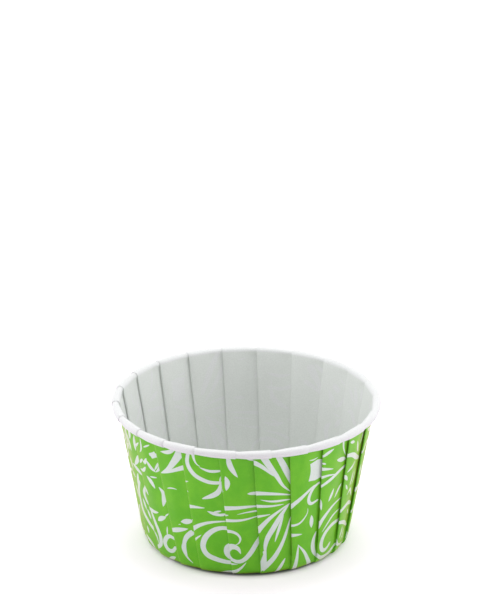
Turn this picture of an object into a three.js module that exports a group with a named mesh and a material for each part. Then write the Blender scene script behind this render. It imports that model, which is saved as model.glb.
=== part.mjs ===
// Pleated paper baking cup with a rolled rim, pressed from one flat round sheet.
// The frame has +Z up and its origin at the centre of the base, on the table.
// The sheet is one piece. Its middle stays flat as the base, its outer band is gathered into
// pleats as it turns up into the wall, and its edge is rolled outwards into the rim.
import * as THREE from "three";

// Driving dimensions, in millimetres and degrees.
const footDiameter = 50; // outside, at the table
const mouthDiameter = 62.3; // clear opening inside the rim
const height = 36.4; // overall
const rollDiameter = 2.35; // outside, of the rim's roll
const rollTurn = 290; // how far the edge of the sheet is rolled
const rollTuck = 0.22; // how much tighter the roll is at its end than at its start
const footCorner = 0.9; // bend radius between the base and the wall, at the middle of the sheet
const paper = 0.13; // thickness of the sheet

const pleatCount = 22;
const pleatGap = 0.15; // clearance between folded layers on the wall
const rimPleatGap = 0.06; // clearance between folded layers where the roll presses them
const pressedBand = 1.6; // height of wall under the roll where the layers close up
const firstPleat = 9.5; // where the first pleat leaves the base, from -Y towards +X
const pleatLean = 0.3; // sideways lean of a pleat, as a share of its depth

// Mesh fineness.
const rollSteps = 7;
const cornerSteps = 2;
const foldHeights = [1.1, 2.6]; // stations along the wall where the creases are still opening
const leastRun = 0.06; // shortest middle layer of a pleat
const leastTurn = 0.3; // least turn of a crease, in radians

const degree = Math.PI / 180;

// The side profile of the sheet's middle surface, as stations from the base to the cut edge.
// Each station has a radius r, a height z, the unit normal to the printed side, the length of
// wall below it and the clearance between its folded layers.
const rollRadius = rollDiameter / 2 - paper / 2;
const rollCentre = new THREE.Vector2((mouthDiameter + rollDiameter) / 2, height - rollDiameter / 2);
const foot = new THREE.Vector2(footDiameter / 2 - paper / 2, paper / 2);
const toRoll = rollCentre.clone().sub(foot);
const wallSlope = Math.atan2(toRoll.x, toRoll.y) - Math.asin(rollRadius / toRoll.length());
const wallUp = new THREE.Vector2(Math.sin(wallSlope), Math.cos(wallSlope));
const wallLength = Math.sqrt(toRoll.lengthSq() - rollRadius ** 2);
const cornerTurn = Math.PI / 2 - wallSlope;
const cornerSetback = footCorner * Math.tan(cornerTurn / 2);

// Depth of a pleat at a length along the wall. A flat disc has more edge than the wall has room
// for, and each pleat takes up its share of the excess in two equal layers.
const depthPerLength = ((1 - wallUp.x) * Math.PI) / pleatCount;

function station(point, direction, along, gap) {
  return {
    r: point.x,
    z: point.y,
    normal: new THREE.Vector2(direction.y, -direction.x),
    along,
    layer: paper + gap,
  };
}

function cornerStations() {
  const centre = new THREE.Vector2(foot.x - cornerSetback, foot.y + footCorner);
  return Array.from({ length: cornerSteps + 1 }, (_, i) => {
    const turn = (cornerTurn * i) / cornerSteps;
    const direction = new THREE.Vector2(Math.cos(turn), Math.sin(turn));
    const point = new THREE.Vector2(direction.y, -direction.x).multiplyScalar(footCorner).add(centre);
    return station(point, direction, i === cornerSteps ? cornerSetback : 0, pleatGap);
  });
}

function wallStation(along, gap) {
  return station(wallUp.clone().multiplyScalar(along).add(foot), wallUp, along, gap);
}

function wallStations() {
  const closed = (Math.PI * (paper + pleatGap)) / 2 / depthPerLength; // creases shut from here up
  const pressed = wallLength - pressedBand;
  return [
    ...foldHeights.map((along) => wallStation(along + cornerSetback, pleatGap)),
    wallStation(closed, pleatGap),
    wallStation((closed + pressed) / 2, pleatGap),
    wallStation(pressed, pleatGap),
    wallStation(wallLength, rimPleatGap),
  ];
}

function rollStations() {
  return Array.from({ length: rollSteps }, (_, i) => {
    const share = (i + 1) / rollSteps;
    const turn = rollTurn * degree * share;
    const heading = Math.PI / 2 - wallSlope - turn;
    const direction = new THREE.Vector2(Math.cos(heading), Math.sin(heading));
    const radius = rollRadius - rollTuck * share;
    const point = new THREE.Vector2(-direction.y, direction.x).multiplyScalar(radius).add(rollCentre);
    return station(point, direction, wallLength + rollRadius * turn, rimPleatGap);
  });
}

// The turn of a crease that takes up a pleat of this depth with bends of this radius.
// It grows from nothing at the base to half a circle, where the layers lie flat on each other.
function creaseTurn(depth, bend) {
  let low = leastTurn;
  let high = Math.PI;
  for (let i = 0; i < 40; i++) {
    const middle = (low + high) / 2;
    if (middle - Math.sin(middle) < depth / bend) low = middle;
    else high = middle;
  }
  return high;
}

// One pleat in the sheet's cross-section at a station: points with x along the wall, h towards
// the printed side, and the unit normal to that side. The path runs forward as the inner layer,
// turns back at the valley, runs back as the middle layer, turns again at the mountain, and then
// runs forward as the outer layer, which is the panel up to the next pleat.
function pleatPath({ r, along, layer }) {
  const depth = depthPerLength * along;
  const bend = layer / 2;
  const flat = along === 0;
  const turn = flat ? leastTurn : creaseTurn(depth, bend);
  const run = Math.max(depth - Math.PI * bend, leastRun);
  const back = new THREE.Vector2(Math.cos(turn), Math.sin(turn));
  const bendEnd = new THREE.Vector2(back.y, 1 - back.x).multiplyScalar(bend);
  const shift = bendEnd.clone().multiplyScalar(2).addScaledVector(back, run);
  const start = -pleatLean * depth - shift.x / 2;
  const point = (x, h, heading) => ({
    x: start + x,
    h: flat ? 0 : h,
    nx: flat ? 0 : -Math.sin(heading),
    nh: flat ? 1 : Math.cos(heading),
  });
  const valley = [0, 0.5, 1].map((share) => {
    const heading = turn * share;
    return point(bend * Math.sin(heading), bend * (1 - Math.cos(heading)), heading);
  });
  const mountain = [1, 0.5, 0].map((share) => {
    const heading = turn * share;
    return point(
      shift.x - bend * Math.sin(heading),
      shift.y - bend * (1 - Math.cos(heading)),
      heading,
    );
  });
  const panel = (2 * Math.PI * r) / pleatCount - shift.x;
  return [
    ...valley,
    ...mountain,
    point(shift.x + panel / 3, shift.y, 0),
    point(shift.x + (2 * panel) / 3, 0, 0),
  ];
}

// One face of the sheet at a station, all the way round: side is 1 on the printed side.
function ring(at, side) {
  const path = pleatPath(at);
  const points = [];
  for (let pleat = 0; pleat < pleatCount; pleat++) {
    const pleatAngle = firstPleat * degree + (2 * Math.PI * pleat) / pleatCount;
    for (const { x, h, nx, nh } of path) {
      const angle = pleatAngle + (x + (side * paper * nx) / 2) / at.r;
      const out = h + (side * paper * nh) / 2;
      const radius = at.r + out * at.normal.x;
      points.push(
        new THREE.Vector3(
          radius * Math.sin(angle),
          -radius * Math.cos(angle),
          at.z + out * at.normal.y,
        ),
      );
    }
  }
  return points;
}

// A closed solid from rings of equal length, with a point at each end.
function loft(firstPole, rings, lastPole) {
  const count = rings[0].length;
  const index = [];
  const last = rings.length * count + 1;
  const at = (row, i) => 1 + row * count + (i % count);
  for (let i = 0; i < count; i++) {
    index.push(0, at(0, i + 1), at(0, i));
    for (let row = 0; row + 1 < rings.length; row++) {
      index.push(at(row, i), at(row, i + 1), at(row + 1, i + 1));
      index.push(at(row, i), at(row + 1, i + 1), at(row + 1, i));
    }
    index.push(last, at(rings.length - 1, i), at(rings.length - 1, i + 1));
  }
  const geometry = new THREE.BufferGeometry().setFromPoints([firstPole, ...rings.flat(), lastPole]);
  geometry.setIndex(index);
  geometry.computeVertexNormals();
  return geometry;
}

function linerGeometry() {
  const stations = [...cornerStations(), ...wallStations(), ...rollStations()];
  const printed = stations.map((at) => ring(at, 1));
  const plain = stations.map((at) => ring(at, -1)).reverse();
  return loft(new THREE.Vector3(0, 0, 0), [...printed, ...plain], new THREE.Vector3(0, 0, paper));
}

function linerMaterial() {
  return new THREE.MeshStandardMaterial({ color: 0x5cb82e, roughness: 0.5, metalness: 0 });
}

const liner = new THREE.Mesh(linerGeometry(), linerMaterial());
liner.name = "liner";

const bakingCup = new THREE.Group();
bakingCup.add(liner);

export default bakingCup;
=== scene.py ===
import math
import random

import bpy
import numpy as np
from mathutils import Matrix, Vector, noise


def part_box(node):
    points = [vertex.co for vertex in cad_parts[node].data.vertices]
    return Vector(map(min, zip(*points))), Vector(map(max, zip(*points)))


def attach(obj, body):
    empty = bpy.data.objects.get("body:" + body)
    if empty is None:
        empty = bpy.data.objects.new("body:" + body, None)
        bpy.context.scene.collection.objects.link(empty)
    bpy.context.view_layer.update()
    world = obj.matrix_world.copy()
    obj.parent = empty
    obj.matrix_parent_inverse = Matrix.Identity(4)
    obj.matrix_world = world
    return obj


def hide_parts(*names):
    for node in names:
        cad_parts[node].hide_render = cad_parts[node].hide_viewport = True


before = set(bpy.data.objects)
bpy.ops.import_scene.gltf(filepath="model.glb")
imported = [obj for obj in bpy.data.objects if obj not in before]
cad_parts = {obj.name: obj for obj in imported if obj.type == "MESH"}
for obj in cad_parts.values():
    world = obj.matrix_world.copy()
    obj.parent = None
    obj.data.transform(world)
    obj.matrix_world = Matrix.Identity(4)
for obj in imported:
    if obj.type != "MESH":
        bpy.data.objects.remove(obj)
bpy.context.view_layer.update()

# The liner's side profile. The cup is pressed from one flat disc of paper: the middle stays flat
# as the base, the outer band turns up into the wall over a small corner, and the edge is rolled
# outwards into a bead. Sizes are in millimetres, and the height comes from the frame, with the
# rim a hair higher, as the photograph has it.
MM = 0.001
liner_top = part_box("liner")[1][2]
rim_rise = 0.3
height = liner_top / MM + rim_rise
foot_diameter = 50.0
mouth_diameter = 62.3
roll_diameter = 2.35
roll_turn = math.radians(290)
roll_tuck = 0.22  # how much tighter the roll is at its end than at its start
foot_corner = 1.8  # bend radius between the base and the wall
paper = 0.13
rolled_paper = 0.07  # the sheet is squeezed thinner where it is rolled
squeeze_share = 0.25  # of the roll's turn, over which it gets thinner

corner_rows = 5
wall_rows = 55
roll_rows = 17

roll_radius = (roll_diameter - paper) / 2
roll_centre = Vector(((mouth_diameter + roll_diameter) / 2, height - roll_diameter / 2))
foot = Vector(((foot_diameter - paper) / 2, paper / 2))
to_roll = roll_centre - foot
wall_slope = math.atan2(to_roll.x, to_roll.y) - math.asin(roll_radius / to_roll.length)
wall_up = Vector((math.sin(wall_slope), math.cos(wall_slope)))
wall_length = math.sqrt(to_roll.length_squared - roll_radius**2)
corner_turn = math.pi / 2 - wall_slope
corner_setback = foot_corner * math.tan(corner_turn / 2)
corner_start = foot.x - corner_setback  # the base is flat inside this radius


class Station:
    """One level of the sheet: its radius, height, printed side's normal and length of wall below."""

    def __init__(self, point, direction, along, rolled=0.0):
        self.r = point.x
        self.z = point.y
        self.normal = Vector((direction.y, -direction.x))
        self.along = along
        self.rolled = rolled
        self.paper = paper + (rolled_paper - paper) * rolled


def corner_station(share):
    turn = corner_turn * share
    direction = Vector((math.cos(turn), math.sin(turn)))
    centre = Vector((corner_start, foot.y + foot_corner))
    return Station(centre + Vector((direction.y, -direction.x)) * foot_corner, direction,
                   corner_setback * share)


def wall_station(share):
    along = corner_setback + (wall_length - corner_setback) * share
    return Station(foot + wall_up * along, wall_up, along)


def roll_station(share):
    turn = roll_turn * share
    heading = math.pi / 2 - wall_slope - turn
    direction = Vector((math.cos(heading), math.sin(heading)))
    radius = roll_radius - roll_tuck * share
    return Station(roll_centre + Vector((-direction.y, direction.x)) * radius, direction,
                   wall_length + roll_radius * turn, min(1.0, share / squeeze_share))


stations = [corner_station(i / corner_rows) for i in range(corner_rows + 1)]
stations += [wall_station((i + 1) / wall_rows) for i in range(wall_rows)]
stations += [roll_station((i + 1) / roll_rows) for i in range(roll_rows)]

# The pleats. A disc has more edge than the wall has room for, so the sheet folds over on itself
# 22 times: forward, back under a valley crease, and forward again over a mountain crease. Each
# fold starts at the foot, deepens up the wall and is pressed flat where the edge is rolled.
pleat_count = 22
pleat_pitch = 2 * math.pi / pleat_count
first_pleat = math.radians(9.5)  # where it leaves the base, from -Y towards +X
pleat_lean = 0.3  # sideways lean of a pleat, as a share of its depth
depth_per_length = (1 - wall_up.x) * math.pi / pleat_count
mountain_gap = 0.04  # clearance inside a mountain crease
rolled_gap = 0.012  # clearance between layers in the roll
pressed_band = 1.1  # height of wall under the roll where the layers close up
least_run = 0.05  # shortest middle layer of a fold
least_turn = 0.3  # least turn of a crease, in radians
flat_share = 0.6  # of the corner's length, over which folds rise from flat on the table

# Each fold has its own clearance inside the valley crease, and its own drift off the even pitch
# at the foot and at the rim, in degrees. Those at the front are set as the photograph has them.
front_gaps = {-2: 0.12, -1: 0.14, 0: 0.28, 1: 0.38, 2: 0.36, 3: 0.36, 4: 0.42}
front_drifts = {-2: (-3.0, -1.2), -1: (-0.8, 0.6), 0: (-1.3, -0.4), 1: (0.0, -0.5), 2: (0.2, -0.1),
                3: (0.1, 0.3), 4: (-2.2, 0.2)}
chance = random.Random(22)
gaps = [chance.uniform(0.12, 0.4) for _ in range(pleat_count)]
drifts = [(chance.uniform(-1.2, 1.2), chance.uniform(-0.6, 0.6)) for _ in range(pleat_count)]
for pleat, gap in front_gaps.items():
    gaps[pleat] = gap
for pleat, drift in front_drifts.items():
    drifts[pleat] = drift

fold_steps = 3  # faces round each crease
visible_steps = 14  # faces across the part of a panel that shows
columns_per_pleat = 2 * fold_steps + 2 + visible_steps + 2
mountain_column = 2 * fold_steps + 1  # the column nearest a mountain crease's edge
middle_column = fold_steps + 1  # the column half way along a fold's middle layer
column_count = pleat_count * columns_per_pleat


def smoothstep(low, high, value):
    share = min(1.0, max(0.0, (value - low) / (high - low)))
    return share * share * (3 - 2 * share)


def crease_turn(excess, bends):
    """The turn of two creases, of these bend radii added up, that takes up a length of sheet."""
    low, high = least_turn, math.pi
    for _ in range(30):
        turn = (low + high) / 2
        if bends * (turn - math.sin(turn)) + least_run * (1 - math.cos(turn)) < excess:
            low = turn
        else:
            high = turn
    return high


def fold(pleat, station):
    """A fold's points in section: (x along the wall, h outwards, heading), valley to mountain."""
    depth = depth_per_length * station.along
    open_share = 1 - smoothstep(wall_length - pressed_band, wall_length, station.along)
    valley_gap = rolled_gap + (gaps[pleat] - rolled_gap) * open_share
    mountain = (station.paper + rolled_gap + (mountain_gap - rolled_gap) * open_share) / 2
    valley = (station.paper + valley_gap) / 2
    turn = crease_turn(2 * depth, valley + mountain)
    run = max(depth - math.pi * (valley + mountain) / 2, least_run)
    back = Vector((math.cos(turn), math.sin(turn)))
    lift = smoothstep(0.0, flat_share * corner_setback, station.along)
    points = []
    x = h = 0.0
    for i in range(fold_steps + 1):
        heading = turn * i / fold_steps
        x = valley * math.sin(heading)
        h = valley * (1 - math.cos(heading))
        points.append((x, h, heading))
    points.append((x + back.x * run / 2, h + back.y * run / 2, turn))
    end_x = x + back.x * run + mountain * math.sin(turn)
    end_h = h + back.y * run + mountain * (1 - math.cos(turn))
    for i in range(fold_steps + 1):
        heading = turn * (1 - i / fold_steps)
        points.append((end_x - mountain * math.sin(heading),
                       end_h - mountain * (1 - math.cos(heading)), heading))
    start = -pleat_lean * depth - end_x / 2
    along_share = station.along / wall_length
    foot_drift, rim_drift = drifts[pleat]
    drift = math.radians(foot_drift + (rim_drift - foot_drift) * min(1.0, along_share))
    place = (first_pleat + pleat * pleat_pitch + drift) * station.r + start
    return [(place + x, h * lift, heading * lift) for x, h, heading in points]


def section(station):
    """The sheet's whole cross-section at a station: (x, h, heading) for every column."""
    folds = [fold(pleat, station) for pleat in range(pleat_count)]
    around = 2 * math.pi * station.r
    columns = []
    for pleat, here in enumerate(folds):
        following = folds[(pleat + 1) % pleat_count]
        lap = around if pleat == pleat_count - 1 else 0.0
        left_x, step, _ = here[-1]
        valley_x = max(x for x, _, _ in here[:fold_steps + 2])
        edge_x = min(x for x, _, _ in following) + lap
        right_x = following[0][0] + lap
        places = [left_x + (edge_x - left_x) * (i + 1) / visible_steps for i in range(visible_steps)]
        places.append((edge_x + right_x) / 2)
        columns += here
        for x in places:
            drop = smoothstep(valley_x, edge_x, x)
            slope = -step * 6 * (drop - drop * drop) / max(edge_x - valley_x, 1.0)
            columns.append((x, step * (1 - drop), math.atan(slope)))
    return columns


ripple = 0.1  # how far the finished wall strays from a true cone
broad_round = 2.6  # broad waves to a radian round the cup
broad_up = 16  # height of a broad wave up the cup
fine_ratio = 2.7  # fine waves to a broad one, round the cup
fine_up = 7  # height of a fine wave up the cup
fine_share = 0.4  # how deep a fine wave is, as a share of a broad one
broad_start = (3.1, 0.4)  # where in the noise each kind of wave is taken from
fine_start = (9.2, 5.3)
calm_foot = 8.0  # height over which the waves grow from nothing at the foot
rolled_calm = 0.5  # share of the waves that rolling presses out


def crumple(angle, height_up):
    """The small waves that pressing leaves in the wall, which all layers share."""
    place = Vector((math.sin(angle), -math.cos(angle), 0)) * broad_round
    broad = noise.noise(place + Vector((*broad_start, height_up / broad_up)))
    fine = noise.noise(place * fine_ratio + Vector((*fine_start, height_up / fine_up)))
    return ripple * (broad + fine_share * fine) * smoothstep(0.0, calm_foot, height_up)


def ring_points(station, columns, side):
    """The points of one face of the sheet at a station: side is 1 printed, -1 plain."""
    points = []
    for x, h, heading in columns:
        across = x - side * station.paper / 2 * math.sin(heading)
        angle = across / station.r
        out = h + side * station.paper / 2 * math.cos(heading)
        out += crumple(x / station.r, station.z) * (1 - rolled_calm * station.rolled)
        radius = station.r + out * station.normal.x
        points.append((radius * math.sin(angle), -radius * math.cos(angle),
                       station.z + out * station.normal.y))
    return points


# The base. It is the flat middle of the sheet. Its rings of faces have few columns in the middle
# and twice as many at each of four radii further out, and the last rings ease from even columns
# to those of the folds.
base_rings = [(column_count // 16, radius) for radius in (1.5, 3.0)]
base_rings += [(column_count // 8, radius) for radius in (4.2, 5.4, 6.6)]
base_rings += [(column_count // 4, 7.8 + 0.95 * i) for i in range(6)]
base_rings += [(column_count // 2, 13.5 + 0.9 * i) for i in range(10)]
base_ease_rings = 3


def even_ring(count, radius, side):
    level = paper / 2 - side * paper / 2
    angles = [first_pleat + 2 * math.pi * i / count for i in range(count)]
    return [(radius * math.sin(angle), -radius * math.cos(angle), level) for angle in angles]


def eased_ring(share, columns, side):
    """A ring between the even columns of the base and those at the start of the corner."""
    count = len(columns)
    inner = base_rings[-1][1]
    radius = inner + (corner_start - inner) * share
    level = paper / 2 - side * paper / 2
    ring = []
    for i, (x, _, _) in enumerate(columns):
        even = first_pleat + 2 * math.pi * i / count
        angle = even + (x / stations[0].r - even) * share
        ring.append((radius * math.sin(angle), -radius * math.cos(angle), level))
    return ring


sections = [section(station) for station in stations]


def face_rings(side):
    """All rings of one face of the sheet, from the middle of the base to the cut edge."""
    rings = [even_ring(count, radius, side) for count, radius in base_rings]
    for i in range(base_ease_rings):
        rings.append(eased_ring((i + 1) / (base_ease_rings + 1), sections[0], side))
    rings += [ring_points(station, columns, side) for station, columns in zip(stations, sections)]
    return rings


def stitch(inner, outer):
    """Faces between two rings of vertex numbers, where the outer may have twice the columns."""
    count = len(inner)
    faces = []
    for i in range(count):
        after = (i + 1) % count
        if len(outer) == count:
            faces.append((inner[i], inner[after], outer[after], outer[i]))
            continue
        first, middle, last = outer[2 * i], outer[2 * i + 1], outer[(2 * i + 2) % len(outer)]
        faces.append((inner[i], middle, first))
        faces.append((inner[i], inner[after], middle))
        faces.append((inner[after], last, middle))
    return faces


printed_rings = face_rings(1)
plain_rings = face_rings(-1)
numbers = []
counted = 1  # vertex 0 is the middle of the base
for ring in printed_rings:
    numbers.append(list(range(counted, counted + len(ring))))
    counted += len(ring)

base_faces = [(0, after, before) for before, after in zip(numbers[0], numbers[0][1:] + numbers[0][:1])]
first_station = len(numbers) - len(stations)
for row in range(first_station):
    base_faces += stitch(numbers[row], numbers[row + 1])
rising_faces = []
for row in range(first_station, len(numbers) - 1):
    rising_faces += stitch(numbers[row], numbers[row + 1])

# The print. The flat sheet is printed green before pressing, leaving scrolls, stems and leaves
# in the white of the paper. Each panel between creases shows its own stretch of the design, with
# a jump where a fold hides some. Strokes run through points (degrees round the cup, mm up it).
print_radius = 28.0  # a degree round the cup is this radius's arc, at the wall's middle height
stroke_spacing = 0.45


class Stroke:
    """A brush stroke on the sheet: points along its middle, half its width at each, and how
    steeply that falls to nothing past its two ends."""

    def __init__(self, points, halves, blunt):
        self.points = np.array(points)
        self.halves = np.array(halves)
        self.blunt = blunt


def curve(knots):
    """Points at even spacing along the smooth curve through some knots."""
    knots = [np.array(knot, float) for knot in knots]
    padded = [2 * knots[0] - knots[1], *knots, 2 * knots[-1] - knots[-2]]
    points = [knots[0]]
    for a, b, c, d in zip(padded, padded[1:], padded[2:], padded[3:]):
        steps = max(2, round(float(np.linalg.norm(c - b)) / stroke_spacing))
        for i in range(1, steps + 1):
            t = i / steps
            points.append(0.5 * (2 * b + (c - a) * t + (2 * a - 5 * b + 4 * c - d) * t * t
                                 + (3 * b - a - 3 * c + d) * t**3))
    return points


def on_wall(knots):
    """Knots given in degrees round the cup and mm up it, as mm on the sheet."""
    return [(math.radians(degrees) * print_radius, up) for degrees, up in knots]


def drawn(knots, width, shape, blunt):
    points = curve(knots)
    last = len(points) - 1
    return Stroke(points, [width / 2 * shape(i / last) for i in range(last + 1)], blunt)


def leaf(width, *knots):
    """Pointed at both ends and fullest in the middle."""
    return drawn(knots, width, lambda t: math.sin(math.pi * t)**0.75, 1.0)


def brush(width, *knots):
    """Blunt where it starts and drawn out to a point."""
    return drawn(knots, width, lambda t: (1 - t)**0.65, 3.0)


def band(width, *knots):
    """Nearly even, a little finer at its rounded ends."""
    return drawn(knots, width, lambda t: 0.6 + 0.4 * math.sin(math.pi * t), 1.8)


def block(width, *knots):
    """Broad and blunt, a little waisted."""
    return drawn(knots, width, lambda t: 1 - 0.14 * math.sin(math.pi * t), 6.0)


# The curl near the front lies across a crease, so the panels on both sides show it.
curl = (leaf, 1.75, (-2.8, 6.4), (-4.4, 8), (-7.4, 8.6), (-9.9, 7.8), (-10.2, 6.2), (-8.2, 4.9), (-5, 4.2))
curl_stem = (band, 1.3, (-8.8, 5.1), (-5, 4.2), (-1.4, 4.6), (2.4, 6.6), (6, 9.8), (10, 13.4))

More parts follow.
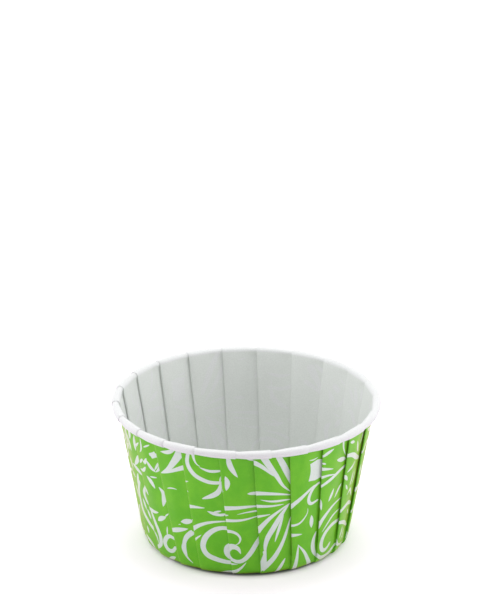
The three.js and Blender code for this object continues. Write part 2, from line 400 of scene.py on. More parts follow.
# Each panel's strokes, by the pleat at its left edge: pleat 0 is the one right of the front.
panel_strokes = {
    -6: [(band, 1.2, (-92, 24.6), (-88, 28), (-84, 28.6), (-81, 26), (-82.4, 23), (-85.4, 23)),
         (brush, 1.4, (-93, 20.4), (-87, 18.6), (-80, 19.6), (-77, 22)),
         (leaf, 1.3, (-90, 17.4), (-86.6, 15.2), (-82, 15.4)),
         (leaf, 1.2, (-91, 12.4), (-88, 13.6), (-84, 12.4)), (leaf, 1.0, (-91, 8.6), (-87.4, 9.2)),
         (band, 1.2, (-92, 3), (-87, 4.4), (-83, 7.6), (-80, 9.8)),
         (leaf, 1.0, (-85, 3.6), (-81, 2.2), (-78.6, 3)), (leaf, 1.1, (-90, 33.4), (-85, 32), (-81, 33.2))],
    -5: [(band, 1.2, (-73, 33.6), (-73.6, 29.3), (-72, 27)),
         (leaf, 1.3, (-62, 33.6), (-64.4, 30.3), (-64.4, 28)), (leaf, 1.1, (-57.5, 32.1), (-63, 29.3)),
         (leaf, 1.3, (-68.5, 23.4), (-65.5, 24.9), (-62.2, 26.7), (-58.5, 26)),
         (leaf, 1.2, (-71.2, 23.4), (-66.6, 22.7), (-61.5, 21.6)), (leaf, 1.0, (-76, 20.3), (-71, 19.3)),
         (leaf, 1.2, (-66.4, 21.6), (-68.4, 19), (-69.2, 16.4)), (leaf, 1.5, (-78, 26), (-74, 28)),
         (leaf, 1.1, (-59, 20), (-61.4, 18.4), (-63.8, 16.4), (-62, 14), (-58.5, 13.4)),
         (band, 1.4, (-66.5, 19.3), (-70, 15.8), (-70.2, 11), (-66.4, 8.7), (-60.9, 6.9), (-56, 5.4)),
         (leaf, 1.1, (-67.9, 6.6), (-67.2, 4.4)), (band, 1.2, (-72.5, 3.2), (-66.1, 2.1), (-63.4, 0.8)),
         (leaf, 1.5, (-79, 10), (-75, 12.5)), (leaf, 1.3, (-77, 7.4), (-72, 6.2)),
         (leaf, 1.2, (-67.4, 34), (-68.8, 30.4)), (leaf, 1.5, (-78.6, 33), (-76.6, 29.4)),
         (leaf, 1.1, (-71.6, 31.6), (-69.4, 27)), (leaf, 1.3, (-75, 24.6), (-72.4, 21.4)),
         (leaf, 1.2, (-74.4, 17), (-72.6, 13.4)), (leaf, 1.0, (-66.6, 14.6), (-64.6, 11.4)),
         (leaf, 1.0, (-63.8, 12), (-61.4, 9.4))],
    -4: [(leaf, 1.3, (-55.2, 23.4), (-52.6, 22.3), (-50.2, 20.4)),
         (leaf, 0.5, (-52.9, 23.5), (-47.6, 23.9)), (leaf, 0.7, (-59.6, 26), (-56.2, 27.9)),
         (leaf, 0.9, (-56.4, 27.7), (-55, 26.9), (-52.8, 28.8)),
         (leaf, 0.9, (-60.5, 24.4), (-57.5, 24.3), (-54.5, 26)), (leaf, 0.6, (-62, 22), (-59.2, 21.3)),
         (leaf, 0.6, (-55.4, 33.8), (-55.8, 30.9), (-57.8, 29.3)),
         (leaf, 0.5, (-54.1, 31.5), (-49.2, 33)), (leaf, 0.6, (-57.3, 32.2), (-62.7, 29.5)),
         (leaf, 0.8, (-59.3, 19.9), (-56.8, 17.3)),
         (leaf, 1.1, (-61.8, 14.4), (-58.5, 13.5), (-54, 13.3), (-50.6, 13.6)),
         (leaf, 1.3, (-52.3, 11), (-49.5, 12.1), (-45.8, 13)), (leaf, 0.45, (-46.8, 12.9), (-43.4, 14.4)),
         (band, 1.3, (-57, 12.8), (-54.8, 10), (-52.6, 7), (-52.8, 4.6), (-55.4, 3.2), (-59.4, 2.2)),
         (leaf, 0.6, (-59, 7.6), (-55.8, 6.2), (-55, 4)), (block, 1.7, (-50, 29.7), (-46, 30.8)),
         (leaf, 0.8, (-59, 1.7), (-56.6, 0.6)), (leaf, 1.0, (-53.4, 28.2), (-51, 26.4), (-48, 25.4)),
         (leaf, 0.8, (-48.4, 25.3), (-45.4, 26.9), (-43.4, 29.8)),
         (leaf, 0.6, (-48.8, 25.8), (-46.8, 27.4), (-44.6, 29)),
         (leaf, 1.5, (-47.8, 21.4), (-45, 19.4), (-46.8, 15.8)),
         (band, 1.3, (-41.6, 7.2), (-45.6, 7.6), (-48.8, 6.2), (-49.6, 4.7), (-47.6, 3.3), (-44.4, 3.5),
          (-41.8, 5)), (leaf, 0.45, (-46, 10.4), (-47, 7.6)), (leaf, 1.0, (-50.4, 0.2), (-42.8, 1.9))],
    -3: [(leaf, 1.1, (-42, 32.6), (-37.5, 33.1), (-33, 34.6)),
         (brush, 2.1, (-31, 33.8), (-34.6, 30.9), (-38.6, 28.2), (-44, 26)),
         (brush, 1.35, (-29, 29.7), (-35, 28.3), (-40, 27), (-43.6, 26.2)),
         (leaf, 0.4, (-41.4, 22.2), (-38, 22.8), (-34.8, 22.7)),
         (leaf, 1.3, (-44.8, 9.6), (-38, 10.8), (-31.4, 11.7)),
         (leaf, 1.5, (-35.4, 13.4), (-31.8, 13.8), (-28, 14.4)), (leaf, 0.4, (-37, 12.4), (-35.4, 12.7)),
         (brush, 1.5, (-29, 11), (-33, 9.2), (-35.1, 6.8), (-35.2, 4.6), (-33.6, 3), (-30.6, 1.6)),
         (leaf, 1.4, (-33.8, 8.4), (-35.4, 5.8), (-34, 3)), (leaf, 0.5, (-44, 2.2), (-42.4, 1.4))],
    -2: [(band, 1.15, (-26.4, 35), (-27.6, 32), (-26.8, 30), (-24.4, 28.3), (-20.5, 27.2), (-16, 26.6),
          (-9, 26.9)), (brush, 0.8, (-24.6, 35), (-24, 32.7), (-22.7, 31.4), (-20.8, 30.9)),
         (leaf, 0.8, (-22, 30.8), (-18, 30), (-15, 29.9), (-9, 30.5)),
         (leaf, 1.35, (-11.8, 27), (-13.2, 24.2), (-16.5, 22.8), (-22, 21.6)),
         (leaf, 0.4, (-11.8, 28.8), (-12.6, 26.4)),
         (brush, 1.2, (-31, 18.6), (-26, 18.9), (-20.2, 19.05)), (brush, 0.7, (-31, 25.6), (-27.8, 26.1)),
         (leaf, 0.35, (-30.4, 23.4), (-28.4, 22.9)), (leaf, 0.35, (-30, 14.5), (-27.4, 15)),
         (leaf, 0.95, (-19.6, 18.2), (-15.6, 17.5), (-10.6, 17.2)), (leaf, 0.6, (-17, 17.9), (-12, 18.6)),
         (leaf, 0.6, (-15, 17.3), (-8.4, 17.8)),
         (brush, 1.3, (-31.5, 10.9), (-29, 12), (-24, 13.8), (-18, 15), (-8, 15.8)),
         (band, 1.5, (-7, 13.3), (-12, 13.6), (-17, 12.7), (-21.4, 10.5), (-23.4, 7.7), (-21.6, 5.5),
          (-17, 4.4), (-11, 3.7), (-5, 3.6)), (leaf, 0.5, (-29.4, 7.4), (-27.4, 9.3), (-23.6, 11)),
         (leaf, 0.5, (-28.6, 5.8), (-28.1, 4), (-26.7, 2)), (leaf, 0.5, (-33, 2.6), (-31, 1.7)),
         (leaf, 1.0, (-15, 0.3), (-5, 1)), curl, curl_stem],
    -1: [(leaf, 1.3, (-8.4, 35.8), (-7.4, 32.4), (-5.6, 30.3), (-3.8, 28.8)),
         (leaf, 1.25, (-9.7, 29.1), (-8.7, 27.2), (-9.4, 24.8)), (leaf, 0.3, (-11.6, 25.8), (-11, 24)),
         (brush, 1.25, (-10.5, 19.7), (-3, 20), (9, 20.3)),
         (brush, 0.55, (7, 18.9), (0, 18.5), (-4.8, 18)), (leaf, 0.6, (-15, 17.3), (-8.4, 17.8)),
         (leaf, 0.95, (0.4, 23.9), (7, 24)), (leaf, 0.5, (0, 34), (4.4, 33.4)),
         (leaf, 0.3, (-15, 15.2), (-9, 15.9)),
         (brush, 0.95, (-12.8, 16.2), (-6, 16.2), (0, 16.5), (8, 17.6)),
         (brush, 0.95, (-10.4, 13.1), (-7, 12.9), (-4.4, 12.2), (-3, 10.9), (-3.8, 9.6), (-6.6, 8.9)),
         (brush, 0.95, (-13, 3.7), (-9, 3.5), (-4.4, 3.4)), curl, curl_stem,
         (brush, 1.3, (-11, 0.5), (-5.8, 1.3), (-2.6, 2.4), (0.2, 4))],
    0: [(band, 1.5, (12.6, 36), (16, 32.8), (19, 29.6), (22.5, 25.6)),
        (brush, 1.7, (6.2, 36), (10.4, 32), (14, 28.9), (17.4, 25.8), (22, 23.4)),
        (brush, 1.3, (3, 33.4), (7.6, 31.7), (13, 28.8)),
        (brush, 1.25, (2.6, 24.4), (12, 23.9), (23, 22.4)),
        (leaf, 0.6, (6.4, 22.4), (13, 21.6), (23, 21.2)),
        (brush, 0.95, (3.8, 20.6), (12, 20.3), (19, 20.2)), (brush, 0.85, (4.4, 17.4), (12.4, 17.95)),
        (brush, 1.5, (5.4, 12.9), (8, 14.7), (13, 17.3), (22.4, 20.3)),
        (leaf, 1.5, (22, 20.2), (18, 17.4), (14, 13.8), (11, 11), (9.9, 8.4), (10.3, 5.6)),
        (brush, 1.0, (9.6, 7.4), (10.2, 5.2), (11, 2.6)), (leaf, 0.85, (19, 17.2), (16.8, 13), (15, 9.4)),
        (brush, 1.7, (8.4, 1.8), (11.6, 3.2), (15.6, 5.3), (19.2, 8.6), (21.4, 12), (23.2, 16.4)),
        (leaf, 1.5, (9.9, 7), (9.2, 4), (7.6, 0.8)), (leaf, 1.0, (15.4, -0.2), (19, 1.7), (22, 4.3))],
    1: [(brush, 1.4, (19.6, 18.6), (25, 20.6), (30, 22.5), (34, 23.6), (40, 24)),
        (band, 0.95, (38, 24.3), (34, 23), (31.9, 21), (32.2, 19.5), (34.4, 18.7), (38.6, 19.2)),
        (brush, 0.75, (21.6, 13.8), (27, 13.9), (30.4, 15.2), (32.1, 16.7), (31.6, 18.2)),
        (leaf, 1.35, (35, 15.3), (35.6, 13.3), (36.2, 11.4)), (brush, 1.1, (22.6, 11), (30.2, 10.6)),
        (block, 4.2, (34.6, 30.9), (34.8, 28.4), (34.7, 25.6)),
        (leaf, 0.35, (29.4, 31.9), (32.4, 31.6), (35, 31.9)),
        (brush, 1.5, (27.4, -0.4), (28.2, 3.6), (28.3, 8)),
        (brush, 1.5, (40, -1), (36.4, 2.1), (32.8, 5), (27.6, 8)),
        (leaf, 1.4, (40.2, 10), (38.8, 7), (40, 4.2), (44, 1.6))],
    2: [(leaf, 1.0, (35.6, 31.8), (43, 33.3)), (leaf, 0.5, (36.4, 30.2), (39.4, 29.4)),
        (brush, 1.0, (36, 28.5), (44.8, 27.2)), (brush, 0.9, (36, 25.9), (42, 25.8), (47.4, 25.2)),
        (band, 1.05, (36, 22.9), (43, 24.2), (48, 25.1), (57, 26)),
        (leaf, 1.35, (46.2, 29.4), (50, 28.7), (55, 27.8)),
        (brush, 0.9, (49.3, 35), (50.6, 32), (54, 29)),
        (leaf, 1.0, (47.6, 21.2), (46, 19.3), (44.4, 17.8)),
        (leaf, 0.9, (55, 21.2), (51.6, 19.3), (49.4, 17.8)),
        (leaf, 0.7, (38, 20), (39.4, 18), (40.2, 16)),
        (brush, 1.5, (38.6, 10.6), (42.4, 13.4), (47, 15.3), (51, 16), (58, 16.6)),
        (leaf, 0.65, (42.6, 9.2), (47, 11.4), (51, 12.7), (58, 13.4)),
        (band, 1.3, (60, 10), (53, 10), (49, 9.6), (45.6, 8.5), (43.9, 6.7), (44.3, 4.6), (46.6, 3.5),
         (49.6, 3.6), (52.8, 4.7)), (band, 1.1, (40, 4), (44, 2), (48, 1.4), (53, 1.6), (60, 3.2))],
    3: [(band, 1.3, (51, 29.5), (58, 28.6), (63, 26.9), (70, 25)), (leaf, 0.9, (54, 33), (58, 32.2)),
        (leaf, 0.8, (60.6, 32), (63, 29.3), (66, 27.6)), (leaf, 0.8, (56, 23.9), (60, 24.7), (63, 26)),
        (leaf, 1.0, (54, 23.6), (58, 21.4)), (leaf, 0.6, (57, 20.4), (59.6, 18.4)),
        (leaf, 0.9, (60, 16.6), (63, 17.8), (65.4, 16.8), (69, 14.6)),
        (band, 1.2, (54, 12.4), (60, 13.5), (65, 13.6), (72, 12)),
        (band, 1.1, (54, 9.9), (60, 9.2), (65, 8), (72, 5.8)),
        (brush, 1.1, (55, 6.6), (58.4, 3.6), (62, 2.4), (70, 1.6)),
        (leaf, 0.8, (60, 4.4), (61.4, 6), (61.6, 7.8)), (leaf, 0.8, (63.6, 3.4), (65, 5), (65.2, 6.6)),
        (leaf, 0.7, (67.4, 2.8), (69, 4.2)), (leaf, 0.8, (61.4, 19), (62.8, 20.8), (63.2, 23)),
        (leaf, 0.8, (65.2, 18.4), (67, 20.4), (67.4, 22.8)), (leaf, 0.8, (67, 29), (69, 31), (69.4, 33.4)),
        (leaf, 0.6, (66, 11.6), (70, 9.4))],
    4: [(band, 1.3, (70, 26.5), (75, 28.6), (80, 27.4), (83, 24), (81, 20.6), (77, 20.4), (75.6, 22.6)),
        (brush, 1.4, (71, 16), (77, 16.6), (83, 19), (88, 23)), (leaf, 1.2, (76, 15.2), (79, 13), (83, 13)),
        (leaf, 1.2, (82, 17), (86, 15.4), (89, 16.4)), (leaf, 0.9, (72.2, 23), (73, 19.6)),
        (band, 1.2, (71, 9.6), (76, 10.6), (80, 8.8), (81.4, 5.4), (78.6, 3.2), (75.4, 4.4), (76, 6.6)),
        (leaf, 1.1, (83.4, 10.8), (86, 8), (87.4, 4.6)), (leaf, 1.1, (71.6, 32.8), (76, 31.8), (79.4, 32.8)),
        (leaf, 1.0, (83, 31.8), (86, 28.8)), (leaf, 0.9, (83.6, 2.4), (88, 1.4)),
        (leaf, 0.9, (71.6, 4.6), (72.8, 1.8))],
}

# The underside carries the same kind of scroll and leaves, at the same size.
base_strokes = [
    (band, 1.3, (-8, -7), (-2, -9.6), (4, -7.4), (6.4, -1.8), (3, 3.4), (-3, 3), (-5, -1.4), (-2, -3.8)),
    (brush, 1.5, (6.4, -3), (10, 3), (9, 10), (3, 15.4), (-5, 17)),
    (leaf, 1.6, (10, 5), (15, 8.4), (20, 7)), (leaf, 1.5, (9.4, 1), (15, 0.2), (20.4, 2.4)),
    (leaf, 1.4, (8, -3), (13, -6.6), (19, -6.4)), (leaf, 1.5, (3, 15.4), (7, 19), (12, 19.4)),
    (leaf, 1.4, (-3, 17), (-4, 21), (0, 23)),
    (band, 1.2, (-10, 12), (-15, 13), (-18, 8.6), (-16, 4), (-11.6, 4.2), (-11, 7.8), (-14, 8.6)),
    (brush, 1.4, (-10, 12), (-8, 8), (-9.4, 2), (-14, -3), (-20, -5)),
    (leaf, 1.5, (-12, -1), (-14.6, -7), (-19, -11)),
    (leaf, 1.4, (-9.6, 1.8), (-10.4, -4.6), (-13.6, -10.4)),
    (leaf, 1.2, (-17, 14), (-19.8, 11.4), (-22, 7)),
    (band, 1.2, (-4, -13.6), (2, -16), (8, -14), (10.4, -18), (6.6, -21), (3, -18.8)),
    (brush, 1.3, (-2, -14.6), (-7, -16), (-11, -19.6)), (leaf, 1.2, (8, -13.8), (13, -13), (17, -15.4)),
    (leaf, 0.9, (-6, -21), (-2, -19.4), (1, -21.6)), (leaf, 0.8, (14, 13), (17, 15), (20, 12.4)),
]


class Segments:
    """The straight pieces of a list of strokes, as arrays."""

    def __init__(self, strokes):
        self.start = np.concatenate([s.points[:-1] for s in strokes])
        self.span = np.concatenate([s.points[1:] - s.points[:-1] for s in strokes])
        self.length = np.linalg.norm(self.span, axis=1)
        self.half = np.concatenate([s.halves[:-1] for s in strokes])
        self.grow = np.concatenate([s.halves[1:] - s.halves[:-1] for s in strokes])
        self.blunt = np.concatenate([np.full(len(s.halves) - 1, s.blunt) for s in strokes])
        self.owner = np.concatenate([np.full(len(s.halves) - 1, i) for i, s in enumerate(strokes)])
        self.order = np.arange(len(self.length))
        self.first = np.concatenate([[True], self.owner[1:] != self.owner[:-1]])
        self.last = np.concatenate([self.owner[1:] != self.owner[:-1], [True]])

    def measure(self, places):
        """For each place and segment: how far apart they are, the signed distance across the
        stroke there, and half the stroke's width there, which is less than 0 past its ends."""
        offset = places[:, None, :] - self.start
        share = (offset * self.span).sum(axis=2) / self.length**2
        on_it = np.clip(share, 0, 1)
        distance = np.linalg.norm(offset - on_it[:, :, None] * self.span, axis=2)
        carried = np.clip(share, np.where(self.first, -np.inf, 0), np.where(self.last, np.inf, 1))
        turn = self.span[:, 0] * offset[:, :, 1] - self.span[:, 1] * offset[:, :, 0]
        across = np.sign(turn) * np.linalg.norm(offset - carried[:, :, None] * self.span, axis=2)
        past = np.abs(carried - on_it) * self.length
        return distance, across, self.half + self.grow * on_it - past * self.blunt


def wall_print(pleat):
    """The strokes on the panel that starts at a pleat. The back of the cup repeats the front."""
    half = pleat_count // 2
    leftmost = min(panel_strokes)
    front = (pleat - leftmost) % half + leftmost
    turn = 180.0 * (pleat - front) / half
    shapes = []
    for kind, width, *knots in panel_strokes[front]:
        shapes.append(kind(width, *on_wall([(degrees + turn, up) for degrees, up in knots])))
    return Segments(shapes)


print_layers = 3  # strokes that one face of the mesh can show
same_stretch = 2  # segments either way that the corners of one face may lie nearest to
next_stretch = 6  # segments either way that are one stretch of a stroke
face_reach = 0.5  # mm, no corner of a face is further than this from a line that crosses it


def lay_print(segments, corners, owner_face):
    """For each face corner, the distance across the nearest strokes of its face and half their
    width. The mesh carries both, and the print's edge is where they meet."""
    count = np.bincount(owner_face)
    centres = np.stack([np.bincount(owner_face, corners[:, i]) / count for i in range(2)], axis=1)
    _, across, half = segments.measure(centres)
    edge = np.abs(across) - half
    distance, corner_across, corner_half = segments.measure(corners)
    rows = np.arange(len(corners))
    layers = []
    for _ in range(print_layers):
        nearest = np.argmin(edge, axis=1)
        same = segments.owner[None, :] == segments.owner[nearest][:, None]
        apart = np.abs(segments.order[None, :] - nearest[:, None])
        close = (same & (apart <= same_stretch))[owner_face]
        chosen = np.argmin(np.where(close, distance, np.inf), axis=1)
        laid = corner_across[rows, chosen]
        least = np.full(len(count), np.inf)
        np.minimum.at(least, owner_face, np.abs(laid))
        laid = np.where(least[owner_face] > face_reach, np.abs(laid), laid)
        layers.append(np.stack([laid, corner_half[rows, chosen]], axis=1))
        edge = np.where(same & (apart <= next_stretch), np.inf, edge)
    return layers


def unrolled(columns, around):
    """The length of sheet from the first column to each, and all the way round, at one section."""
    first_x, first_h, _ = columns[0]
    lengths = [0.0]
    for (x, h, _), (after_x, after_h, _) in zip(columns, [*columns[1:], (first_x + around, first_h, 0)]):
        lengths.append(lengths[-1] + math.hypot(after_x - x, after_h - h))
    return lengths


lengths = [unrolled(columns, 2 * math.pi * station.r) for columns, station in zip(sections, stations)]


def past_crease(row, column, pleat):
    """The length of sheet from a pleat's mountain crease to a vertex."""
    laps, home = divmod(column, column_count)
    edge = pleat * columns_per_pleat + mountain_column
    return lengths[row][home] + laps * lengths[row][-1] - lengths[row][edge]


def print_place(row, past, pleat):
    """Where on the design a vertex lies, by its distance past a pleat's mountain crease."""
    edge_x = sections[row][pleat * columns_per_pleat + mountain_column][0]
    return (edge_x + past) / stations[row].r * print_radius, stations[row].z


wall_end = corner_rows + wall_rows
face_corners = ((0, 0), (0, 1), (1, 1), (1, 0))  # rows and columns on from a face's first corner
far = 9.0  # mm, no crease near
no_ink = [0.0, 1.0]  # the middle of a bare stroke 1 mm to each side
rising_layers = [np.tile(no_ink, (4 * len(rising_faces), 1)) for _ in range(print_layers)]
crease_distance = np.full(4 * len(rising_faces), far)
for pleat in range(pleat_count):
    places = []
    corners = []
    for row in range(wall_end):
        for i in range(columns_per_pleat):
            column = pleat * columns_per_pleat + middle_column + i
            face = row * column_count + column % column_count
            for number, (up, on) in enumerate(face_corners):
                past = past_crease(row + up, column + on, pleat)
                places.append(4 * face + number)
                corners.append(print_place(row + up, past, pleat))
                crease_distance[4 * face + number] = abs(past)
    owner_face = np.repeat(np.arange(len(corners) // 4), 4)
    found_layers = lay_print(wall_print(pleat), np.array(corners), owner_face)
    for layer, found in zip(rising_layers, found_layers):
        layer[places] = found

points = np.array([(0.0, 0.0, 0.0)] + [point for ring in printed_rings for point in ring])
base_segments = Segments([kind(width, *knots) for kind, width, *knots in base_strokes])
base_corners = np.array([points[vertex][:2] for face in base_faces for vertex in face])
base_owner = np.repeat(np.arange(len(base_faces)), [len(face) for face in base_faces])
base_layers = lay_print(base_segments, base_corners, base_owner)

# The liner itself: one closed sheet, with the printed face outside, the plain white face inside
# and a narrow cut edge between them, hidden in the roll.
sheet_faces = base_faces + rising_faces
plain_points = np.array([(0.0, 0.0, paper)] + [point for ring in plain_rings for point in ring])
vertex_count = len(points)
rim = numbers[-1]
edge_faces = []
for i in range(len(rim)):
    after = (i + 1) % len(rim)
    edge_faces.append((rim[i], rim[after], rim[after] + vertex_count, rim[i] + vertex_count))
all_faces = list(sheet_faces)
all_faces += [tuple(vertex + vertex_count for vertex in reversed(face)) for face in sheet_faces]
all_faces += edge_faces

mesh = bpy.data.meshes.new("liner_sheet")
mesh.from_pydata((np.concatenate([points, plain_points]) * MM).tolist(), [], all_faces)
mesh.materials.append(None)
mesh.materials.append(None)
material_index = [0] * len(sheet_faces) + [1] * (len(sheet_faces) + len(edge_faces))
mesh.polygons.foreach_set("material_index", material_index)
mesh.polygons.foreach_set("use_smooth", [True] * len(all_faces))

reversed_corners = []
start = 0
for face in sheet_faces:
    reversed_corners += range(start + len(face) - 1, start - 1, -1)
    start += len(face)
crease = np.concatenate([np.full(len(base_corners), far), crease_distance])
for number in range(print_layers):
    laid = np.concatenate([base_layers[number], rising_layers[number]])
    laid = np.column_stack([laid, crease])
    blank = np.tile([*no_ink, far], (4 * len(edge_faces), 1))
    values = np.concatenate([laid, laid[reversed_corners], blank])
    attribute = mesh.attributes.new(f"print_{number + 1}", "FLOAT_VECTOR", "CORNER")
    attribute.data.foreach_set("vector", values.astype(np.float32).ravel())
mesh.update()

cup = bpy.data.objects.new("pleated_liner", mesh)
bpy.context.scene.collection.objects.link(cup)
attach(cup, "root")
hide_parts("liner")

# The printed paper's finish. Green ink and a thin baking film lie on the outside, the scrolls
# are bare white paper, and the inside is plain white with the green showing faintly through.
ink = (0.116, 0.482, 0.013, 1)
light_ink = (0.162, 0.542, 0.018, 1)
ink_on_fibres = (0.100, 0.432, 0.013, 1)
bare_white = (0.72, 0.81, 0.76, 1)
bare_fibres = (0.63, 0.715, 0.665, 1)
worn_ink = (0.60, 0.74, 0.45, 1)
worn_reach = (0.08, 0.24)  # mm from a mountain crease, over which the wear goes
worn_share = 0.08  # how much of the ink is worn off on the crease itself
inner_white = (0.79, 0.80, 0.80, 1)
inner_fibres = (0.73, 0.74, 0.74, 1)
green_through = (0.50, 0.72, 0.36, 1)
through_share = 0.07  # how much of the print shows inside
print_edge = 0.035  # mm either side of the print's edge, over which ink gives way to paper
print_waver = 0.08  # mm that the print's edge strays with the paper
through_waver = 0.3  # the same for the print as it shows inside


class Shade:
    """An output of a material's nodes, which Python expressions join to others."""

    def __init__(self, tree, socket=None):
        self.tree = tree
        self.socket = socket

    def node(self, kind, settings=None, inputs=None, output=0):
        """Add a node, set it up, feed its sockets and return one of its outputs."""
        made = self.tree.nodes.new("ShaderNode" + kind)
        for name, value in (settings or {}).items():
            setattr(made, name, value)
        for name, value in (inputs or {}).items():
            if isinstance(value, Shade):
                self.tree.links.new(value.socket, made.inputs[name])
            else:
                made.inputs[name].default_value = value
        return Shade(self.tree, made.outputs[output]) if made.outputs else None

    def math(self, operation, *values):
        return self.node("Math", {"operation": operation}, dict(enumerate(values)))

    def __add__(self, other):
        return self.math("ADD", self, other)

    def __sub__(self, other):
        return self.math("SUBTRACT", self, other)

    def __rsub__(self, other):
        return self.math("SUBTRACT", other, self)

    def __mul__(self, other):
        return self.math("MULTIPLY", self, other)

    def __abs__(self):
        return self.math("ABSOLUTE", self)

    __radd__ = __add__
    __rmul__ = __mul__

    def step(self, low, high):
        """0 below low, 1 above high and a smooth rise between."""
        return self.node("MapRange", {"interpolation_type": "SMOOTHSTEP"},
                         {"Value": self, "From Min": low, "From Max": high})

    def mix(self, first, second):
        """A colour that goes from the first to the second as this value goes from 0 to 1."""
        return self.node("Mix", {"data_type": "RGBA"}, {0: self, 6: first, 7: second}, 2)

    def noise(self, scale, detail=2.0, roughness=0.5):
        """A grain with features of about 1 / scale metres."""
        place = self.node("TexCoord", output="Object")
        return self.node("TexNoise", inputs={"Vector": place, "Scale": scale, "Detail": detail,
                                             "Roughness": roughness})


def new_material(name):
    material = bpy.data.materials.new(name)
    material.use_nodes = True
    material.node_tree.nodes.clear()
    return material, Shade(material.node_tree)


def finish_surface(shade, colour, roughness, bump_height, **constants):
    """Join a colour, a roughness and a surface height in mm to a principled surface."""
    normal = shade.node("Bump", inputs={"Height": bump_height, "Distance": MM, "Strength": 1.0})
    surface = shade.node("BsdfPrincipled", inputs={"Base Color": colour, "Roughness": roughness,
                                                   "Normal": normal, **constants})
    shade.node("OutputMaterial", inputs={"Surface": surface})


def bare_paper(shade, ragged):
    """1 where the design leaves the paper bare and 0 where the green ink lies."""
    cover = None
    for number in range(1, print_layers + 1):
        laid = shade.node("Attribute", {"attribute_name": f"print_{number}"}, output="Vector")
        across = shade.node("SeparateXYZ", inputs={"Vector": laid}, output="X")
        half = shade.node("SeparateXYZ", inputs={"Vector": laid}, output="Y")
        inside = half - abs(across)
        cover = inside if cover is None else shade.math("MAXIMUM", cover, inside)
    return (cover + ragged).step(-print_edge, print_edge)


def printed_side():
    material, shade = new_material("green_printed_paper")
    fibres = shade.noise(4200.0, 4.0, 0.6)
    mottle = shade.noise(230.0, 3.0, 0.55)
    speckle = shade.noise(1500.0, 2.0, 0.5)
    bare = bare_paper(shade, (mottle - 0.5) * print_waver)
    green = mottle.step(0.32, 0.68).mix(ink, light_ink)
    green = (fibres.step(0.35, 0.7) * 0.35).mix(green, ink_on_fibres)
    white = (fibres.step(0.3, 0.7) * 0.6).mix(bare_white, bare_fibres)
    colour = bare.mix(green, white)
    layer = shade.node("Attribute", {"attribute_name": "print_1"}, output="Vector")
    from_crease = shade.node("SeparateXYZ", inputs={"Vector": layer}, output="Z")
    worn = (1 - from_crease.step(*worn_reach)) * speckle.step(0.35, 0.75) * worn_share
    colour = worn.mix(colour, worn_ink)
    roughness = 0.36 + fibres * 0.12 + bare * 0.06
    finish_surface(shade, colour, roughness, fibres * 0.012 + mottle * 0.03,
                   **{"Specular IOR Level": 0.25, "Sheen Weight": 0.5, "Sheen Roughness": 0.4,
                      "Sheen Tint": (1.0, 0.75, 0.15, 1)})
    return material


def plain_side():
    material, shade = new_material("white_inner_paper")
    fibres = shade.noise(3600.0, 4.0, 0.6)
    mottle = shade.noise(260.0, 3.0, 0.5)
    through = 1 - bare_paper(shade, (mottle - 0.5) * through_waver)
    white = fibres.step(0.3, 0.7).mix(inner_white, inner_fibres)
    colour = (through * through_share).mix(white, green_through)
    roughness = 0.46 + fibres * 0.14
    finish_surface(shade, colour, roughness, fibres * 0.014 + mottle * 0.03)
    return material


mesh.materials[0] = printed_side()
mesh.materials[1] = plain_side()

# The table. A wide pale sweep with a fine paper tooth. A faint glow, for the camera only, lifts
# it to white and fades out round the cup, a painted shadow ring over the cup's real soft shadow,
# and right under the foot its colour is painted dark as a contact shadow. The sweep is a little
# pink, against the green light that the cup throws on it.
table_half = 4.0
table_segments = 24
table_pale = (0.84, 0.75, 0.84, 1)
table_paler = (0.87, 0.78, 0.87, 1)
painted_contact_shadow = (0.2, 0.2, 0.2, 1)
table_glow = (0.37, 0.37, 0.37, 1)
unlit = (0, 0, 0, 1)
painted_shadow_centre = (0.0, -3.0 * MM, 0.0)  # the painted shadow is centred a little towards the front of the cup
painted_contact_shadow_band = (21.9 * MM, 23.2 * MM)  # out from there, where the painted contact shadow under the foot ends
painted_shadow_glow_band = (21.3 * MM, 25.4 * MM)  # out from there, where the glow comes up from nothing: the painted shadow ring's edge


def seen_straight(shade):
    """1 for what the camera sees, also in a gloss or through glass, and 0 for light on the cup."""
    camera = shade.node("LightPath", output="Is Camera Ray")
    glossy = shade.node("LightPath", output="Is Glossy Ray")
    through = shade.node("LightPath", output="Is Transmission Ray")
    return shade.math("MAXIMUM", camera, shade.math("MAXIMUM", glossy, through))


def table_material():
    material, shade = new_material("pale_table")
    tooth = shade.noise(900.0, 2.0, 0.5)
    colour = tooth.mix(table_pale, table_paler)
    out = shade.node("VectorMath", {"operation": "DISTANCE"},
                     {0: shade.node("TexCoord", output="Object"), 1: painted_shadow_centre}, output="Value")
    # painted contact shadow: the table's colour goes dark right under the cup's foot
    colour = out.step(*painted_contact_shadow_band).mix(painted_contact_shadow, colour)
    # painted shadow: the glow's fade round the cup sets how far the shade reaches; the shade under it is
    # real
    glow = (seen_straight(shade) * out.step(*painted_shadow_glow_band)).mix(unlit, table_glow)
    finish_surface(shade, colour, 0.85 + tooth * 0.05, tooth * 0.01,
                   **{"Emission Color": glow, "Emission Strength": 1.0, "Specular IOR Level": 0.1})
    return material


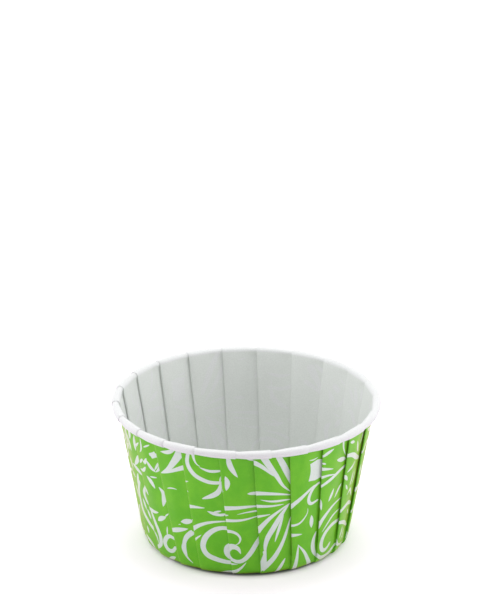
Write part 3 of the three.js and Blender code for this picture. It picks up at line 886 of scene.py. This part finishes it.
table_mesh = bpy.data.meshes.new("table_sweep")
lines = [table_half * (2 * i / table_segments - 1) for i in range(table_segments + 1)]
table_points = [(x, y, 0.0) for y in lines for x in lines]
side = table_segments + 1
table_faces = [(j * side + i, j * side + i + 1, (j + 1) * side + i + 1, (j + 1) * side + i)
               for j in range(table_segments) for i in range(table_segments)]
table_mesh.from_pydata(table_points, [], table_faces)
table_mesh.materials.append(table_material())
table = bpy.data.objects.new("table", table_mesh)
bpy.context.scene.collection.objects.link(table)

# The light. A low soft box stands on each side of the cup and one hangs over it, and a pale
# room fills in all round.
subject = Vector((0, 0, 20 * MM))
room_light = (0.60, 0.60, 0.60, 1)  # what falls on the cup
room_seen = (1.0, 1.0, 1.0, 1)  # what the camera sees past the table


def soft_box(name, place, size, power):
    lamp = bpy.data.lights.new(name, "AREA")
    lamp.shape = "DISK"
    lamp.size = size
    lamp.energy = power
    holder = bpy.data.objects.new(name, lamp)
    holder.location = place
    holder.rotation_euler = (subject - Vector(place)).to_track_quat("-Z", "Y").to_euler()
    bpy.context.scene.collection.objects.link(holder)


soft_box("right_light", (1.0, -0.15, 0.26), 0.8, 3.9)
soft_box("left_light", (-1.0, -0.15, 0.26), 0.8, 3.8)
soft_box("top_light", (0.0, 0.3, 1.1), 0.9, 7.2)

world = bpy.data.worlds.new("studio")
world.use_nodes = True
world.node_tree.nodes.clear()
room = Shade(world.node_tree)
room_colour = seen_straight(room).mix(room_light, room_seen)
room.node("OutputWorld", inputs={"Surface": room.node("Background", inputs={"Color": room_colour})})
bpy.context.scene.world = world

# The camera, at the photograph's distance, height and framing.
frame_height = 595  # pixels
focal_pixels = 6013
camera_distance = 1.5
camera_elevation = math.radians(22.67)
aim_right = 0.42 * MM
aim_up = 58.54 * MM

lens = bpy.data.cameras.new("camera")
lens.sensor_width = 36.0
lens.lens = focal_pixels * lens.sensor_width / frame_height
lens.clip_start = 0.05
lens.clip_end = 50.0
camera = bpy.data.objects.new("camera", lens)
forward = Vector((0, math.cos(camera_elevation), -math.sin(camera_elevation)))
upward = Vector((0, math.sin(camera_elevation), math.cos(camera_elevation)))
camera.location = Vector((aim_right, 0, 0)) + upward * aim_up - forward * camera_distance
camera.rotation_euler = (math.pi / 2 - camera_elevation, 0, 0)
bpy.context.scene.collection.objects.link(camera)
bpy.context.scene.camera = camera
bpy.context.scene.view_settings.view_transform = "Standard"

# Bring the scene's matrices up to date.
bpy.context.view_layer.update()
